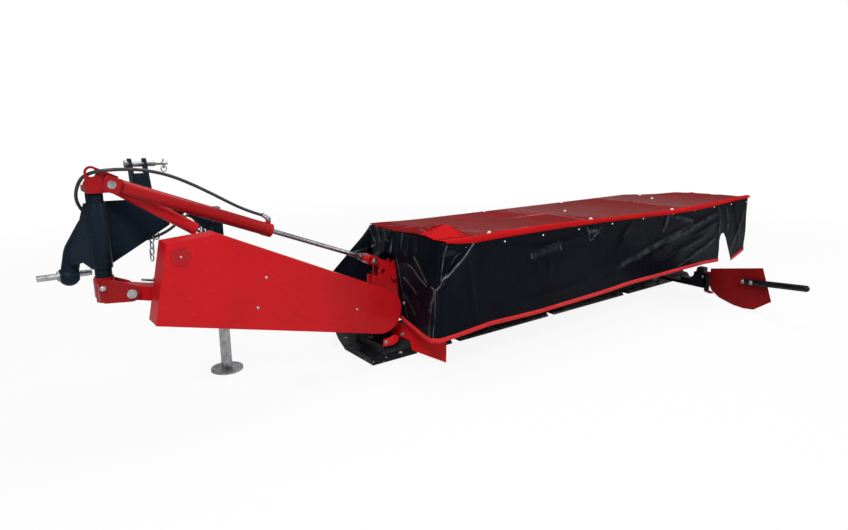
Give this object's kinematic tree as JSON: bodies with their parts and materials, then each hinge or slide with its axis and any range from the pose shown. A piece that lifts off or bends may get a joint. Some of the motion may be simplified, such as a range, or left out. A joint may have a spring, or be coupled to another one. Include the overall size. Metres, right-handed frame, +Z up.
{
  "type": "rear-mounted disc mower",
  "caption": "Rear-mounted disc mower with a canvas cover, folding belt-guard arm, lift cylinder, swivelling three-point headstock and swath board, parked on its skids.",
  "frame": {"origin": "bottom centre of the machine box on the floor", "axes": "+X along the cutter bar to its outer end, +Y the direction of travel, +Z up"},
  "size_m": [4.814, 1.8434, 1.113],
  "materials": {
    "guard_red": "gloss",
    "deflector_red": "satin",
    "dark_frame": "gloss",
    "bare_steel": "satin",
    "rod_chrome": "polished",
    "bar_steel": "dull",
    "disc_steel": "satin",
    "cover_cloth": "pvc coated, satin",
    "curtain_cloth": "pvc coated, satin",
    "hose_rubber": "satin"
  },
  "bodies": {
    "headstock": {"hitch_arch": "dark_frame", "lower_link_pins": "bare_steel", "hitch_mast": "dark_frame", "top_link_pin": "bare_steel", "kingpin_sleeve": "dark_frame", "gusset_plates": "dark_frame", "stand_sleeve": "dark_frame", "hose_clip": "dark_frame"},
    "stand": {"stand_leg": "bare_steel"},
    "swivel": {"king_pin": "bare_steel", "upper_bracket": "guard_red", "lower_bracket": "guard_red", "hinge_pins": "bare_steel", "hydraulic_hose": "hose_rubber", "hose_plug": "bare_steel"},
    "arm": {"arm_beam": "guard_red", "belt_guard": "guard_red", "guard_backplate": "dark_frame", "input_housing": "dark_frame"},
    "drive_shaft": {"input_shaft": "bare_steel"},
    "lift_barrel": {"cylinder_barrel": "guard_red", "hose_elbow": "bare_steel"},
    "lift_rod": {"cylinder_rod": "rod_chrome"},
    "relief_barrel": {"relief_tube": "guard_red"},
    "relief_rod": {"relief_spring": "bare_steel"},
    "mower_bar": {"hinge_gearbox": "guard_red", "fold_lever": "guard_red", "cutter_bar": "bar_steel", "bar_skids": "bar_steel", "inner_shoe": "bar_steel", "outer_shoe": "dark_frame", "inner_deflector": "deflector_red", "cover_frame": "dark_frame", "cover_top_rear": "cover_cloth", "rear_curtain": "curtain_cloth", "inner_curtain": "curtain_cloth", "outer_curtain": "curtain_cloth", "swath_carrier": "dark_frame"},
    "flap": {"flap_frame": "dark_frame", "cover_top_front": "cover_cloth", "front_curtain": "curtain_cloth"},
    "swath": {"swath_board": "deflector_red", "swath_rod": "dark_frame"},
    "disc_1_body": {"disc_1": "disc_steel"},
    "disc_2_body": {"disc_2": "disc_steel"},
    "disc_3_body": {"disc_3": "disc_steel"},
    "disc_4_body": {"disc_4": "disc_steel"},
    "disc_5_body": {"disc_5": "disc_steel"},
    "disc_6_body": {"disc_6": "disc_steel"},
    "disc_7_body": {"disc_7": "disc_steel"}
  },
  "joints": [
    {"name": "stand_slide", "type": "slide", "parent": "headstock", "child": "stand", "axis": [0, 0, 1], "range_m": [0, 0.35]},
    {"name": "swivel_turn", "type": "hinge", "parent": "headstock", "child": "swivel", "pos_m": [-2.193, 0.4503, 0.8], "axis": [0, 0, -1], "range_deg": [0, 30], "deforming": ["hydraulic_hose"]},
    {"name": "arm_lift", "type": "hinge", "parent": "swivel", "child": "arm", "pos_m": [-2.107, 0.4503, 0.577], "axis": [0, -1, 0], "range_deg": [-4.5, 22.5]},
    {"name": "drive_turn", "type": "hinge", "parent": "arm", "child": "drive_shaft", "pos_m": [-1.8468, 0.5503, 0.61367], "axis": [0, 1, 0], "continuous": true},
    {"name": "cylinder_tilt", "type": "hinge", "parent": "swivel", "child": "lift_barrel", "pos_m": [-2.133, 0.4443, 1.036], "axis": [0, -1, 0], "range_deg": [-1.94, 8.42], "deforming": ["hydraulic_hose"]},
    {"name": "rod_slide", "type": "slide", "parent": "lift_barrel", "child": "lift_rod", "axis": [0.9309, 0, -0.3654], "range_m": [-0.3282, 0.0605], "deforming": ["hydraulic_hose"]},
    {"name": "relief_tilt", "type": "hinge", "parent": "swivel", "child": "relief_barrel", "pos_m": [-2.133, 0.5103, 1.036], "axis": [0, -1, 0], "range_deg": [-3.08, 14.7]},
    {"name": "relief_slide", "type": "slide", "parent": "relief_barrel", "child": "relief_rod", "axis": [0.8287, 0, -0.5597], "range_m": [-0.153, 0.0286]},
    {"name": "bar_fold", "type": "hinge", "parent": "arm", "child": "mower_bar", "pos_m": [-0.932, 0.4503, 0.302], "axis": [0, -1, 0], "range_deg": [-12, 66], "deforming": ["hydraulic_hose"]},
    {"name": "flap_lift", "type": "hinge", "parent": "mower_bar", "child": "flap", "pos_m": [0.607, 0.3793, 0.6657], "axis": [1, 0, 0], "range_deg": [0, 65]},
    {"name": "swath_turn", "type": "hinge", "parent": "mower_bar", "child": "swath", "pos_m": [1.781, -0.0847, 0.1], "axis": [0, 0, 1], "range_deg": [-10, 30]},
    {"name": "disc_1_spin", "type": "hinge", "parent": "mower_bar", "child": "disc_1_body", "pos_m": [-0.488, 0.4303, 0.113], "axis": [0, 0, 1], "continuous": true},
    {"name": "disc_2_spin", "type": "hinge", "parent": "mower_bar", "child": "disc_2_body", "pos_m": [-0.088, 0.4303, 0.113], "axis": [0, 0, 1], "continuous": true},
    {"name": "disc_3_spin", "type": "hinge", "parent": "mower_bar", "child": "disc_3_body", "pos_m": [0.312, 0.4303, 0.113], "axis": [0, 0, 1], "continuous": true},
    {"name": "disc_4_spin", "type": "hinge", "parent": "mower_bar", "child": "disc_4_body", "pos_m": [0.712, 0.4303, 0.113], "axis": [0, 0, 1], "continuous": true},
    {"name": "disc_5_spin", "type": "hinge", "parent": "mower_bar", "child": "disc_5_body", "pos_m": [1.112, 0.4303, 0.113], "axis": [0, 0, 1], "continuous": true},
    {"name": "disc_6_spin", "type": "hinge", "parent": "mower_bar", "child": "disc_6_body", "pos_m": [1.512, 0.4303, 0.113], "axis": [0, 0, 1], "continuous": true},
    {"name": "disc_7_spin", "type": "hinge", "parent": "mower_bar", "child": "disc_7_body", "pos_m": [1.912, 0.4303, 0.113], "axis": [0, 0, 1], "continuous": true}
  ],
  "couplings": [
    {"joint": "arm_lift", "follows": "bar_fold", "ratio": 0.33333},
    {"joint": "cylinder_tilt", "follows": "bar_fold", "ratio": 0.12},
    {"joint": "rod_slide", "follows": "bar_fold", "m_per_rad": -0.28405},
    {"joint": "relief_tilt", "follows": "bar_fold", "ratio": 0.21515},
    {"joint": "relief_slide", "follows": "bar_fold", "m_per_rad": -0.13195},
    {"joint": "disc_2_spin", "follows": "disc_1_spin", "ratio": -1},
    {"joint": "disc_3_spin", "follows": "disc_1_spin", "ratio": 1},
    {"joint": "disc_4_spin", "follows": "disc_1_spin", "ratio": -1},
    {"joint": "disc_5_spin", "follows": "disc_1_spin", "ratio": 1},
    {"joint": "disc_6_spin", "follows": "disc_1_spin", "ratio": -1},
    {"joint": "disc_7_spin", "follows": "disc_1_spin", "ratio": 1}
  ]
}
